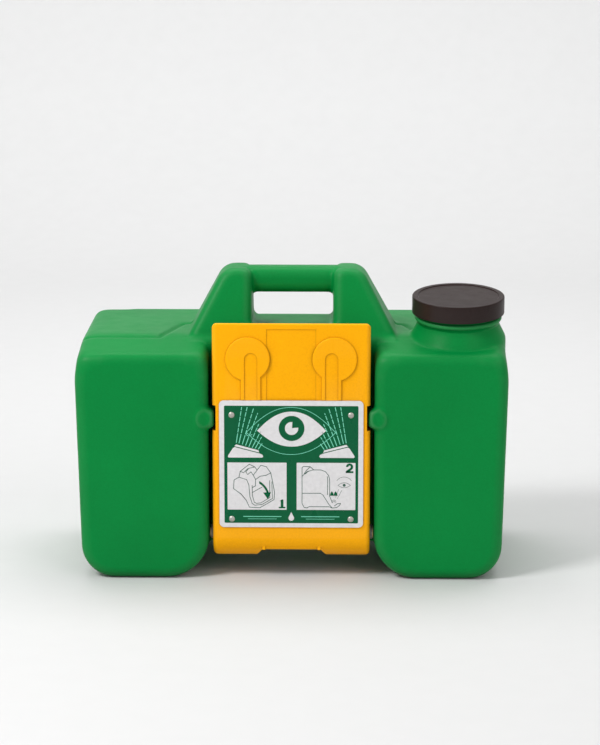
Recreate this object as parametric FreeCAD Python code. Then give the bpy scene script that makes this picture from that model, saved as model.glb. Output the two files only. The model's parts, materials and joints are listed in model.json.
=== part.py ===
import FreeCAD, Part
import math
import os

# Portable gravity-fed eyewash station.  Millimetres, +Z up, the front faces -Y, and the
# origin is on the floor under the middle of the tank.  A hollow tank with two lobes carries a
# screw cap and a yellow spray arm.  The arm hinges down at the front, and opens the valve.

V = FreeCAD.Vector
X_AXIS = V(1, 0, 0)
Y_AXIS = V(0, 1, 0)
Z_AXIS = V(0, 0, 1)

# ---- fits -------------------------------------------------------------------------------
running_fit = 0.05        # radial, a shaft in its hole
seat_gap = 0.3            # between curved or moulded faces of different pieces
thread_play = 0.6         # between the coarse moulded threads
overlap = 1.0             # how far a cutter or a joined solid runs into the next one
cut_past = 5.0            # where a cutter starts, in front of what it cuts
cut_reach = 20.0          # how far a cutter goes on through a wall

# ---- tank -------------------------------------------------------------------------------
tank_width = 560.0
tank_depth = 270.0
lobe_height = 312.0
front_height = 297.0      # top of the lobes' flat front
shoulder_y = -62.0        # where the sloping top turns level
wall = 4.0
lobe_draft = 7.0          # how far a lobe's side leans in, to its foot and to its top
widest_height = 262.0
foot_radius_outer = 44.0
foot_radius_inner = 56.0
face_radius = 14.0        # rolls a lobe's sides into its front, back and top
belly_radius = 60.0       # where a lobe's outer side is widest
shoulder_radius = 80.0    # where the sloping top turns level
recess_half = 107.0       # half the width between the lobes
web_front = -87.0
web_back_inset = 14.0
web_drop = 21.0           # of the web's underside below the hinge's axis
web_front_radius = 10.0
web_back_radius = 20.0
web_top_back_radius = 36.0

# ---- handle -----------------------------------------------------------------------------
handle_top = 396.0
handle_half_top = 91.0
handle_half_base = 135.0
handle_corner = 24.0
hand_hole_half = 53.0
hand_hole_bottom = 322.0
hand_hole_top = 362.0
hand_hole_corner = 9.0
handle_y = -20.0          # middle of the bar
post_edge = 12.0
bar_depth = 40.0
post_depth_top = 62.0
post_depth_base = 126.0
post_sink = 12.0          # of the posts' feet into the lobes
bar_radius = 13.0

# ---- neck and cap -----------------------------------------------------------------------
neck_x = 216.0
neck_y = -58.0
neck_tilt = 6.0           # degrees, leaning to the front
neck_radius = 53.5
neck_bore = 46.0
neck_rise = 47.5          # rim above the lobe's top
bead_rise = 24.0
bead_size = 3.0
neck_flare = 9.0
flare_sink = 12.0         # of the neck's foot under the sloping top
bore_sink = 30.0
skirt_drop = 2.0          # the flare starts this far under the lobe's top
thread_pitch = 6.0
thread_depth = 2.3
thread_root = 3.0
thread_crest = 1.3
thread_turns = 1.75
thread_sink = 0.8
cap_height = 22.0
cap_wall = 3.6
cap_top_wall = 3.4
cap_rim = 8.0
cap_recess = 1.0
seal_thickness = 2.0
seal_width = 7.0

# ---- spray arm --------------------------------------------------------------------------
arm_side_gap = 5.0        # between the arm's sides and the lobes
arm_front = -131.0
arm_back = -92.0
arm_top = 339.0
arm_top_fall = 9.0        # the arm's top slopes down to its back
arm_top_radius = 2.5
arm_wall = 4.0
arm_corner = 6.0
pivot_radius = 30.0       # round the arm's lower end
pivot_drop = 26.5         # lowest point of the arm
cove_gap = 2.5            # between the arm's lower end and the tank
foot_cut_half = 38.0      # half the width of the notch between the feet
foot_cut_height = 12.0
foot_cut_flank = 12.0     # how far each side of the notch slants out
notch_low = 198.0
notch_high = 231.0
notch_depth = 4.5
boss_height = 25.0
boss_depth = 22.0
boss_clear = 2.0
boss_edge = 4.5
relief_x = 56.0           # round head pockets, either side
relief_z = 292.0
relief_radius = 29.0
relief_rise = 2.2
relief_edge = 2.0
stem_x = 52.0             # hose channels
stem_half = 13.0
slot_half = 8.5           # of the shallow slot along each relief
panel_half = 32.0
panel_top = 331.0
panel_sink = 0.8
rib_thickness = 4.0
rib_x = 36.0
rib_top = 84.0

# ---- label ------------------------------------------------------------------------------
label_width = 186.0
label_height = 168.0
label_bottom = 70.0
label_thickness = 1.5
label_corner = 6.0
rivet_x = 77.0
rivet_low = 81.0
rivet_high = 219.0
rivet_head_radius = 3.9
rivet_head_rise = 1.6
rivet_shank_radius = 2.0
rivet_tail = 1.6          # set over behind the arm's skin

# ---- hinge ------------------------------------------------------------------------------
pin_radius = 5.0
pin_head_radius = 9.0
pin_head_thickness = 4.0
pin_thread_length = 16.0
bushing_wall = 2.0
bushing_flange = 2.0
bushing_flange_radius = 9.5
washer_thickness = 1.0
insert_wall = 3.0
insert_boss_wall = 5.0

# ---- valve ------------------------------------------------------------------------------
rotor_radius = 9.0
rotor_bore = 4.5
plug_radius = 6.0
plug_length = 8.0
valve_wall = 4.5
valve_half = 27.0
port_radius = 5.0
rotor_square = 12.0
oring_radius = 1.4
oring_x = 20.0
spigot_radius = 9.0
spigot_bore = 6.0
spigot_flange_radius = 16.0
spigot_flange = 3.0
spigot_spare = 2.0        # beyond the nut
outlet_gasket_thickness = 2.0
outlet_nut_thickness = 7.0
outlet_nut_flats = 30.0
outlet_pad_radius = 20.0
outlet_pad_depth = 14.0
outlet_pad_rise = 3.5     # out of the cove

# ---- hoses and spray heads ---------------------------------------------------------------
hose_outer = 7.5
hose_inner = 5.0
barb_bore = 3.2
barb_length = 16.0
hose_run = 55.0           # from each end to the S-bend's corners
clamp_width = 8.0
clamp_thickness = 1.0
clamp_housing = 5.0       # half the width of the box that holds its screw
clamp_screw = 3.0
elbow_radius = 9.5
head_radius = 23.0
head_wall = 2.5
head_depth = 30.0
head_front_gap = 3.0      # from the arm's skin, filled by two mounting posts
filter_thickness = 5.0
diffuser_thickness = 2.5
diffuser_holes = 8
diffuser_hole_radius = 1.3
ring_thickness = 4.0
ring_width = 4.5
screw_radius = 1.8
screw_head_radius = 3.4
screw_head_thickness = 2.2
screw_bite = 1.0          # skin left in front of a screw's hole
ear_reach = 27.0
ear_radius = 5.0
inlet_setback = 10.0      # from the head's front to its inlet

# ---- places worked out from the sizes above ------------------------------------------------
half_width = tank_width / 2
half_depth = tank_depth / 2
pivot_y = arm_front + pivot_radius
pivot_z = pivot_drop + pivot_radius
arm_half = recess_half - arm_side_gap
side_inner = arm_half - arm_wall
skin_inner = arm_front + arm_wall
pad_face = arm_half + bushing_flange + washer_thickness + seat_gap
bushing_radius = pin_radius + running_fit + bushing_wall
valve_radius = rotor_radius + running_fit + valve_wall
web_bottom = pivot_z - web_drop
cove_radius = pivot_radius + cove_gap
outlet_face = pivot_y + cove_radius - outlet_pad_rise
spigot_end = outlet_face + outlet_pad_depth + outlet_nut_thickness + spigot_spare
plug_end = rib_x + rib_thickness / 2 + 2 + plug_length
barb_radius = hose_inner - running_fit
cap_bore = neck_radius + thread_depth + thread_play
cap_radius = cap_bore + cap_wall
head_front = skin_inner + head_front_gap
inlet_y = head_front + inlet_setback
filter_y = inlet_y + barb_bore + 4
diffuser_y = filter_y + filter_thickness
ring_y = diffuser_y + diffuser_thickness
screw_tip = arm_front + screw_bite
hose_low = pivot_z + elbow_radius + 1
hose_high = relief_z - head_radius - 1
rivet_dome_radius = (rivet_head_radius ** 2 + rivet_head_rise ** 2) / (2 * rivet_head_rise)
SIDES = (("left", -1), ("right", 1))


def save(node, shape):
    """Write one node's STEP file."""
    shape.exportStep("parts/%s.step" % node)


def box(x0, x1, y0, y1, z0, z1):
    return Part.makeBox(x1 - x0, y1 - y0, z1 - z0, V(x0, y0, z0))


def rod(radius, start, direction, length):
    return Part.makeCylinder(radius, length, start, direction)


def tube(outer, inner, start, direction, length):
    return rod(outer, start, direction, length).cut(rod(inner, start, direction, length))


def fused(shapes):
    first, rest = shapes[0], shapes[1:]
    return first.fuse(rest).removeSplitter() if rest else first


def rounded_wire(corners):
    """A closed wire through corners (point, radius), with each corner rounded by its radius."""
    count = len(corners)
    edges = []
    ends = []
    for i, (point, radius) in enumerate(corners):
        before = (corners[i - 1][0] - point).normalize()
        after = (corners[(i + 1) % count][0] - point).normalize()
        if radius <= 0:
            ends.append((point, point))
            continue
        half_angle = before.getAngle(after) / 2
        reach = radius / math.tan(half_angle)
        bisector = (before + after).normalize()
        middle = point + bisector * (radius / math.sin(half_angle) - radius)
        start, stop = point + before * reach, point + after * reach
        ends.append((start, stop))
        edges.append((i, Part.Arc(start, middle, stop).toShape()))
    arcs = dict(edges)
    path = []
    for i in range(count):
        if i in arcs:
            path.append(arcs[i])
        start, stop = ends[i][1], ends[(i + 1) % count][0]
        if start.distanceToPoint(stop) > 1e-6:
            path.append(Part.makeLine(start, stop))
    return Part.Wire(Part.__sortEdges__(path))


def front_prism(points, y0, y1, inset=0.0):
    """Extrude along Y an outline given as (x, z, radius), shrunk all round by inset."""
    face = Part.Face(rounded_wire([(V(x, 0, z), r) for x, z, r in points]))
    if inset:
        face = Part.Face(face.makeOffset2D(-inset).Wires[0])
    face.translate(V(0, y0 + inset, 0))
    return face.extrude(V(0, y1 - y0 - 2 * inset, 0))


def side_prism(points, x0, x1, inset=0.0):
    """Extrude along X an outline given as (y, z, radius), shrunk all round by inset."""
    face = Part.Face(rounded_wire([(V(0, y, z), r) for y, z, r in points]))
    if inset:
        face = Part.Face(face.makeOffset2D(-inset).Wires[0])
    face.translate(V(x0 + inset, 0, 0))
    return face.extrude(V(x1 - x0 - 2 * inset, 0, 0))


def edges_at_y(shape, y):
    """Edges that lie in the plane at y."""
    return [e for e in shape.Edges
            if abs(e.BoundBox.YMin - y) < 1e-4 and abs(e.BoundBox.YMax - y) < 1e-4]


def edges_at_x(shape, x):
    return [e for e in shape.Edges
            if abs(e.BoundBox.XMin - x) < 1e-4 and abs(e.BoundBox.XMax - x) < 1e-4]


# ---- tank ---------------------------------------------------------------------------------

def lobe(side, inset=0.0):
    """One lobe of the tank.  Its sides lean in a little, and its top slopes at the front."""
    top = lobe_height + 2 * face_radius
    outline = [
        (side * recess_half, 0, foot_radius_inner),
        (side * (half_width - lobe_draft), 0, foot_radius_outer),
        (side * half_width, widest_height, belly_radius),
        (side * (half_width - lobe_draft), top, 0),
        (side * recess_half, top, 0),
    ]
    profile = [
        (-half_depth, -1, 0),
        (-half_depth, front_height, 0),
        (shoulder_y, lobe_height, shoulder_radius),
        (half_depth, lobe_height, 0),
        (half_depth, -1, 0),
    ]
    solid = front_prism(outline, -half_depth, half_depth, inset)
    reach = half_width + cut_reach
    solid = solid.common(side_prism(profile, -reach, reach, inset))
    return solid.makeFillet(face_radius - inset, rim_edges(solid, inset))


def rim_edges(solid, inset):
    """The edges round a lobe's front, back and top."""
    front, back = -half_depth + inset, half_depth - inset
    rims = edges_at_y(solid, front) + edges_at_y(solid, back)
    sides = [e for e in solid.Edges
             if e.BoundBox.ZMin > front_height - 2 * inset and e.BoundBox.YLength > 5]
    return rims + sides


def web(inset=0.0):
    """The part of the tank between the lobes, with a cove for the arm's lower end."""
    back = half_depth - web_back_inset
    profile = [
        (web_front, web_bottom, 0),
        (web_front, lobe_height, web_front_radius),
        (back, lobe_height, web_top_back_radius),
        (back, web_bottom, web_back_radius),
    ]
    reach = recess_half + 2 * face_radius
    solid = side_prism(profile, -reach, reach, inset)
    cove = rod(cove_radius + inset, V(-reach, pivot_y, pivot_z), X_AXIS, 2 * reach)
    return solid.cut(cove)


def handle(inset=0.0):
    """The carrying handle: two posts that flare to their feet, and a bar set back between."""
    foot = lobe_height - post_sink - 2 * inset
    outline = [
        (-handle_half_base - 7, foot, 0),
        (handle_half_base + 7, foot, 0),
        (handle_half_top, handle_top, handle_corner),
        (-handle_half_top, handle_top, handle_corner),
    ]
    post_profile = [
        (handle_y - post_depth_base / 2, foot, 0),
        (handle_y + post_depth_base / 2, foot, 0),
        (handle_y + post_depth_top / 2, handle_top, 0),
        (handle_y - post_depth_top / 2, handle_top, 0),
    ]
    bar_profile = [
        (handle_y - bar_depth / 2, hand_hole_top, bar_radius),
        (handle_y + bar_depth / 2, hand_hole_top, bar_radius),
        (handle_y + bar_depth / 2, handle_top, bar_radius),
        (handle_y - bar_depth / 2, handle_top, bar_radius),
    ]
    reach = handle_half_base + cut_reach
    posts = front_prism(outline, -half_depth, half_depth, inset)
    posts = posts.common(side_prism(post_profile, -reach, reach, inset))
    gap = hand_hole_half + inset
    hole = [
        (-gap, hand_hole_bottom - inset, hand_hole_corner + inset),
        (gap, hand_hole_bottom - inset, hand_hole_corner + inset),
        (gap, handle_top + 1, 0),
        (-gap, handle_top + 1, 0),
    ]
    posts = posts.cut(front_prism(hole, -half_depth, half_depth))
    posts = rolled_posts(posts, post_edge - inset)
    grip_half = handle_half_top - handle_corner / 2
    grip = side_prism(bar_profile, -grip_half, grip_half, inset)
    return posts.Solids + [grip]


def rolled_posts(posts, radius):
    """The posts with all their edges rolled over, apart from those round their feet."""
    lowest = posts.BoundBox.ZMin
    return posts.makeFillet(radius, [e for e in posts.Edges if e.BoundBox.ZMax > lowest + 1])


def tilted(shape):
    """Lean a piece that is built upright on the neck's axis."""
    shape = shape.copy()
    shape.translate(V(neck_x, neck_y, lobe_height))
    shape.rotate(V(neck_x, neck_y, lobe_height), X_AXIS, neck_tilt)
    return shape


def thread(radius, start, turns, inward=False):
    """A coarse moulded thread ridge round Z, standing out of (or into) a wall at radius."""
    side = -1 if inward else 1
    root, crest = radius - side * thread_sink, radius + side * thread_depth
    helix = Part.makeHelix(thread_pitch, thread_pitch * turns, radius)
    corners = [
        V(root, 0, -thread_root / 2),
        V(crest, 0, -thread_crest / 2),
        V(crest, 0, thread_crest / 2),
        V(root, 0, thread_root / 2),
    ]
    outline = Part.makePolygon(corners + corners[:1])
    ridge = Part.Wire(helix.Edges).makePipeShell([outline], True, True)
    ridge.translate(V(0, 0, start))
    return ridge


def neck_outer():
    """The filler neck, flared into the lobe, with a bead under the cap and a thread."""
    drop = lobe_height - front_height + flare_sink
    sleeve = rod(neck_radius, V(0, 0, -drop), Z_AXIS, drop + neck_rise)
    flare = Part.makeCone(neck_radius + neck_flare, neck_radius, 2 * neck_flare,
                          V(0, 0, -skirt_drop))
    skirt = rod(neck_radius + neck_flare, V(0, 0, -drop), Z_AXIS, drop - skirt_drop)
    bead = Part.makeTorus(neck_radius, bead_size, V(0, 0, bead_rise))
    first_turn = neck_rise - thread_pitch * thread_turns - thread_root
    return tilted(fused([sleeve, flare, skirt, bead, thread(neck_radius, first_turn, thread_turns)]))


def neck_inner():
    depth = lobe_height - front_height + bore_sink
    return tilted(rod(neck_bore, V(0, 0, -depth), Z_AXIS,
                      depth + neck_rise + overlap))


def pin_pad(side):
    """A solid boss in the lobe's inner wall, round the insert for a hinge pin."""
    radius = pin_radius + insert_wall + insert_boss_wall
    return rod(radius, V(side * pad_face, pivot_y, pivot_z), X_AXIS * side, pin_thread_length + 4)


def arm_boss(side):
    """The bump in the lobe's inner wall that the arm's side notch closes over."""
    inner = arm_half - notch_depth + boss_clear
    x0, x1 = sorted((side * inner, side * (recess_half + wall)))
    low = notch_low + boss_clear
    bump = box(x0, x1, arm_front, arm_front + boss_depth, low, low + boss_height)
    return bump.makeFillet(boss_edge, bump.Edges)


def tank():
    """The tank: one hollow moulding."""
    outer = fused([lobe(-1), lobe(1), web(), neck_outer()] + handle()
                  + [arm_boss(-1), arm_boss(1)])
    cavity = fused([lobe(-1, wall), lobe(1, wall), web(wall), neck_inner()] + handle(wall))
    shell = outer.cut(cavity)
    outlet_pad = rod(outlet_pad_radius, V(0, outlet_face, pivot_z), Y_AXIS, outlet_pad_depth)
    shell = shell.fuse([outlet_pad, pin_pad(-1), pin_pad(1)])
    outlet = rod(spigot_radius + running_fit, V(0, outlet_face - overlap, pivot_z), Y_AXIS,
                 outlet_pad_depth + 2 * cut_reach)
    spot_depth = outlet_gasket_thickness + spigot_flange + 3
    spot_face = rod(spigot_flange_radius + 1, V(0, outlet_face - spot_depth, pivot_z), Y_AXIS,
                    spot_depth)
    insert_radius = pin_radius + insert_wall + running_fit
    shell = shell.cut(outlet).cut(spot_face)
    for _, side in SIDES:
        start = V(side * (pad_face - 1), pivot_y, pivot_z)
        shell = shell.cut(rod(insert_radius, start, X_AXIS * side, pin_thread_length + 1))
    return shell


# ---- cap ----------------------------------------------------------------------------------

def cap():
    """The screw cap, with a raised rim round its top and a thread inside."""
    top = neck_rise + seal_thickness + cap_top_wall
    bottom = top - cap_height
    body = rod(cap_radius, V(0, 0, bottom), Z_AXIS, cap_height)
    rims = [e for e in body.Edges if abs(e.BoundBox.ZMax - top) < 1e-4
            and abs(e.BoundBox.ZMin - top) < 1e-4]
    body = body.makeFillet(1.6, rims)
    recess = Part.makeCone(cap_radius - cap_rim, cap_radius - cap_rim + cap_recess,
                           cap_recess, V(0, 0, top - cap_recess))
    bore = rod(cap_bore, V(0, 0, bottom - 1), Z_AXIS, cap_height - cap_top_wall + 1)
    first_turn = neck_rise - thread_pitch * thread_turns - thread_root + thread_pitch / 2
    ridge = thread(cap_bore, first_turn, thread_turns - 0.5, inward=True)
    return tilted(fused([body.cut(recess).cut(bore), ridge]))


def cap_seal():
    outer = neck_radius + 1
    return tilted(tube(outer, outer - seal_width, V(0, 0, neck_rise), Z_AXIS, seal_thickness))


# ---- spray arm ----------------------------------------------------------------------------

def arm_shell():
    """The yellow arm: a moulded shell, open at its back, with two feet round the pivot."""
    outline = [
        (arm_front, arm_top, arm_top_radius),
        (arm_back, arm_top - arm_top_fall, 0),
        (arm_back, pivot_drop, 0),
        (arm_front, pivot_drop, pivot_radius),
    ]
    slope = arm_top_fall / (arm_back - arm_front)
    hollow = [
        (skin_inner, arm_top - arm_wall - slope * arm_wall, 0),
        (arm_back + cut_past, arm_top - arm_wall - arm_top_fall - slope * cut_past, 0),
        (arm_back + cut_past, pivot_drop + arm_wall, 0),
        (skin_inner, pivot_drop + arm_wall, pivot_radius - arm_wall),
    ]
    body = side_prism(outline, -arm_half, arm_half)
    ends = edges_at_x(body, -arm_half) + edges_at_x(body, arm_half)
    ends = [e for e in ends if e.BoundBox.YMin < arm_back - 1]
    body = body.makeFillet(arm_corner, [e for e in ends if e.BoundBox.ZMax > pivot_drop + 1])
    body = body.fuse(spoon(-1)).fuse(spoon(1))
    body = body.cut(side_prism(hollow, -side_inner, side_inner))
    body = body.cut(foot_notch()).cut(top_panel())
    for _, side in SIDES:
        body = body.fuse(notch_lining(side)).cut(side_notch(side))
        body = body.fuse(pivot_rib(side)).cut(rotor_hole(side))
        body = body.cut(bushing_hole(side))
        for x in (side * (relief_x - ear_reach), side * (relief_x + ear_reach)):
            post = rod(ear_radius, V(x, skin_inner - 1, relief_z), Y_AXIS, head_front_gap + 1)
            hole = rod(screw_radius, V(x, screw_tip, relief_z), Y_AXIS, cut_reach)
            body = body.fuse(post).cut(hole)
    for x, z in rivet_places():
        body = body.cut(rod(rivet_shank_radius, V(x, arm_front - cut_past, z), Y_AXIS,
                            cut_reach))
    return body.removeSplitter()


def spoon(side):
    """The raised relief over a spray head and its hose."""
    z0 = label_bottom + label_height
    y0 = arm_front - relief_rise
    disc = rod(relief_radius, V(side * relief_x, y0, relief_z), Y_AXIS, relief_rise + 1)
    stem = box(side * stem_x - stem_half, side * stem_x + stem_half,
               y0, arm_front + 1, z0, relief_z)
    raised = fused([disc, stem])
    raised = raised.makeFillet(relief_edge, [e for e in edges_at_y(raised, y0)])
    floor = arm_front - relief_rise / 2
    x = side * stem_x
    slot = box(x - slot_half, x + slot_half, y0 - overlap, floor, z0 - overlap, relief_z)
    slot_end = rod(slot_half, V(x, y0 - overlap, relief_z), Y_AXIS, floor - y0 + overlap)
    return raised.cut(slot).cut(slot_end)


def foot_notch():
    """The gap between the arm's two feet, with slanting corners."""
    top = pivot_drop + foot_cut_height
    outline = [
        (-foot_cut_half - foot_cut_flank, pivot_drop - 5, 0),
        (foot_cut_half + foot_cut_flank, pivot_drop - 5, 0),
        (foot_cut_half, top, 0),
        (-foot_cut_half, top, 0),
    ]
    return front_prism(outline, arm_front - cut_past, arm_back + cut_reach)


def top_panel():
    """A shallow panel between the two reliefs."""
    return box(-panel_half, panel_half, arm_front - overlap, arm_front + panel_sink,
               label_bottom + label_height - 2 * cut_past, panel_top)


def side_notch(side):
    x0, x1 = sorted((side * (arm_half - notch_depth), side * (arm_half + cut_past)))
    return box(x0, x1, arm_front - 5, arm_back + 5, notch_low, notch_high)


def notch_lining(side):
    x0, x1 = sorted((side * (arm_half - notch_depth - arm_wall), side * (arm_half - 1)))
    return box(x0, x1, skin_inner - 1, arm_back, notch_low - arm_wall, notch_high + arm_wall)


def pivot_rib(side):
    """A plate from the arm's skin to the pivot, which turns the valve's rotor."""
    x0, x1 = sorted((side * (rib_x - rib_thickness / 2), side * (rib_x + rib_thickness / 2)))
    return box(x0, x1, skin_inner - 1, arm_back, pivot_drop + foot_cut_height, rib_top)


def rotor_hole(side):
    half = rotor_square / 2 + running_fit
    x0, x1 = sorted((side * (rib_x - rib_thickness), side * (rib_x + rib_thickness)))
    return box(x0, x1, pivot_y - half, pivot_y + half, pivot_z - half, pivot_z + half)


def bushing_hole(side):
    start = V(side * (side_inner - 1), pivot_y, pivot_z)
    return rod(bushing_radius + running_fit, start, X_AXIS * side, arm_wall + 2)


# ---- label --------------------------------------------------------------------------------

def rivet_places():
    return [(x, z) for x in (-rivet_x, rivet_x) for z in (rivet_low, rivet_high)]


def label_plate():
    half, top = label_width / 2, label_bottom + label_height
    outline = [
        (-half, label_bottom, label_corner),
        (half, label_bottom, label_corner),
        (half, top, label_corner),
        (-half, top, label_corner),
    ]
    plate = front_prism(outline, arm_front - label_thickness, arm_front)
    for x, z in rivet_places():
        plate = plate.cut(rod(rivet_shank_radius, V(x, arm_front - cut_past, z), Y_AXIS,
                            cut_reach))
    return plate


def label_rivets():
    """Four domed rivets through the label and the arm's skin, set over behind."""
    rivets = []
    face = arm_front - label_thickness
    for x, z in rivet_places():
        shank = rod(rivet_shank_radius, V(x, face, z), Y_AXIS,
                    label_thickness + arm_wall + rivet_tail)
        dome = Part.makeSphere(rivet_dome_radius, V(x, face + rivet_dome_radius
                                                    - rivet_head_rise, z))
        dome = dome.common(rod(rivet_head_radius, V(x, face, z), V(0, -1, 0), 5))
        tail = rod(rivet_head_radius - 0.5, V(x, skin_inner, z), Y_AXIS, rivet_tail)
        rivets.append(fused([dome, shank, tail]))
    return Part.makeCompound(rivets)


# ---- hinge --------------------------------------------------------------------------------

def hinge_pins():
    """Two shoulder screws from inside the arm, through its sides, into the tank."""
    pins = []
    for _, side in SIDES:
        head_face = side * (side_inner - seat_gap)
        direction = X_AXIS * side
        length = pad_face - side_inner + seat_gap + pin_thread_length
        head = rod(pin_head_radius, V(head_face, pivot_y, pivot_z), direction * -1,
                   pin_head_thickness)
        shank = rod(pin_radius, V(head_face, pivot_y, pivot_z), direction, length)
        socket = rod(pin_radius / 2, V(head_face - side * pin_head_thickness, pivot_y, pivot_z),
                     direction, pin_head_thickness * 0.6)
        pins.append(fused([head, shank]).cut(socket))
    return Part.makeCompound(pins)


def hinge_bushings():
    """Flanged bushings in the arm's sides."""
    bushings = []
    for _, side in SIDES:
        direction = X_AXIS * side
        sleeve = rod(bushing_radius, V(side * side_inner, pivot_y, pivot_z), direction, arm_wall)
        flange = rod(bushing_flange_radius, V(side * arm_half, pivot_y, pivot_z), direction,
                     bushing_flange)
        bore = rod(pin_radius + running_fit, V(side * (side_inner - 1), pivot_y, pivot_z),
                   direction, cut_reach)
        bushings.append(fused([sleeve, flange]).cut(bore))
    return Part.makeCompound(bushings)


def hinge_washers():
    washers = []
    for _, side in SIDES:
        start = V(side * (pad_face - washer_thickness), pivot_y, pivot_z)
        washers.append(tube(bushing_flange_radius, pin_radius + running_fit, start,
                            X_AXIS * side, washer_thickness))
    return Part.makeCompound(washers)


def pin_inserts():
    """Brass inserts moulded into the tank."""
    inserts = []
    for _, side in SIDES:
        start = V(side * pad_face, pivot_y, pivot_z)
        inserts.append(tube(pin_radius + insert_wall, pin_radius + running_fit, start,
                            X_AXIS * side, pin_thread_length))
    return Part.makeCompound(inserts)


# ---- valve --------------------------------------------------------------------------------

def valve_body():
    """The valve's barrel along the pivot, with a flanged spigot into the tank."""
    barrel = rod(valve_radius, V(-valve_half, pivot_y, pivot_z), X_AXIS, 2 * valve_half)
    spigot = rod(spigot_radius, V(0, pivot_y, pivot_z), Y_AXIS, spigot_end - pivot_y)
    flange = rod(spigot_flange_radius, V(0, outlet_face - outlet_gasket_thickness
                                         - spigot_flange, pivot_z), Y_AXIS, spigot_flange)
    solid = fused([barrel, spigot, flange])
    solid = solid.cut(rod(rotor_radius + running_fit, V(-valve_half - 1, pivot_y, pivot_z),
                          X_AXIS, 2 * valve_half + 2))
    return solid.cut(rod(spigot_bore, V(0, pivot_y, pivot_z), Y_AXIS, spigot_end - pivot_y + 1))


def valve_rotor():
    """The hollow rotor.  Its port points down when the arm is up, and back when it is down."""
    shoulder = rib_x - rib_thickness / 2 - seat_gap
    square_end = rib_x + rib_thickness / 2 + 1
    half = rotor_square / 2
    barrel = rod(rotor_radius, V(-shoulder, pivot_y, pivot_z), X_AXIS, 2 * shoulder)
    key = box(-square_end, square_end, pivot_y - half, pivot_y + half,
              pivot_z - half, pivot_z + half)
    plug = rod(plug_radius, V(-plug_end, pivot_y, pivot_z), X_AXIS, 2 * plug_end)
    solid = fused([barrel, key, plug])
    solid = solid.cut(rod(rotor_bore, V(-plug_end - 1, pivot_y, pivot_z), X_AXIS,
                          2 * plug_end + 2))
    solid = solid.cut(rod(port_radius, V(0, pivot_y, pivot_z), V(0, 0, -1), cut_reach))
    groove_depth = 2 * oring_radius
    for x in (-oring_x, oring_x):
        start = V(x - oring_radius - 0.2, pivot_y, pivot_z)
        solid = solid.cut(tube(rotor_radius + 1, rotor_radius - groove_depth, start, X_AXIS,
                               2 * oring_radius + 0.4))
    return solid


def rotor_seals():
    """Two O-rings in the rotor's grooves."""
    middle = rotor_radius - oring_radius
    return Part.makeCompound([Part.makeTorus(middle, oring_radius - running_fit,
                                             V(x, pivot_y, pivot_z), X_AXIS)
                              for x in (-oring_x, oring_x)])


def outlet_gasket():
    return tube(spigot_flange_radius, spigot_radius + running_fit,
                V(0, outlet_face - outlet_gasket_thickness, pivot_z), Y_AXIS,
                outlet_gasket_thickness)


def outlet_nut():
    """The hexagon nut inside the tank."""
    start = outlet_face + outlet_pad_depth
    radius = outlet_nut_flats / math.sqrt(3)
    corners = [V(radius * math.cos(math.radians(60 * i)), start,
                 pivot_z + radius * math.sin(math.radians(60 * i))) for i in range(6)]
    face = Part.Face(Part.makePolygon(corners + corners[:1]))
    hexagon = face.extrude(V(0, outlet_nut_thickness, 0))
    return hexagon.cut(rod(spigot_radius + running_fit, V(0, start - overlap, pivot_z), Y_AXIS,
                           outlet_nut_thickness + cut_reach))


# ---- hoses and spray heads ----------------------------------------------------------------

def elbow(side):
    """The elbow on the rotor's end, with a barb that points up the arm."""
    x = side * stem_x
    inner = side * (rib_x + rib_thickness / 2 + 2)
    outer = x + side * (barb_radius + 2)
    x0, x1 = sorted((inner, outer))
    body = rod(elbow_radius, V(x0, pivot_y, pivot_z), X_AXIS, x1 - x0)
    barb = rod(barb_radius, V(x, pivot_y, pivot_z), Z_AXIS, elbow_radius + barb_length)
    solid = fused([body, barb])
    socket = rod(plug_radius + running_fit, V(inner - side, pivot_y, pivot_z), X_AXIS * side,
                 plug_end - abs(inner) + 1)
    across = rod(rotor_bore, V(inner, pivot_y, pivot_z), X_AXIS * side, stem_x - abs(inner))
    up = rod(barb_bore, V(x, pivot_y, pivot_z), Z_AXIS, elbow_radius + barb_length + 1)
    return solid.cut(socket).cut(across).cut(up)


def hose(side):
    """A hose from its elbow up to its spray head, with one gentle S-bend."""
    x = side * stem_x
    points = [V(x, pivot_y, hose_low), V(x, pivot_y, hose_low + hose_run),
              V(x, inlet_y, hose_high - hose_run), V(x, inlet_y, hose_high)]
    start, last = points[0], points[-1]
    edges = []
    for i in (1, 2):
        before = points[i - 1] - points[i]
        after = points[i + 1] - points[i]
        turn = math.pi - before.getAngle(after)
        reach = 0.45 * min(before.Length, after.Length)
        radius = reach / math.tan(turn / 2)
        b, a = before.normalize(), after.normalize()
        bisector = (b + a).normalize()
        middle = points[i] + bisector * (radius / math.cos(turn / 2) - radius)
        p, q = points[i] + b * reach, points[i] + a * reach
        edges.append(Part.makeLine(start, p))
        edges.append(Part.Arc(p, middle, q).toShape())
        start = q
    edges.append(Part.makeLine(start, last))
    path = Part.Wire(edges)
    ring = [Part.Wire(Part.makeCircle(r, points[0], Z_AXIS)) for r in (hose_outer, hose_inner)]
    skin, core = [path.makePipeShell([w], True, True) for w in ring]
    return skin.cut(core)


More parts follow.
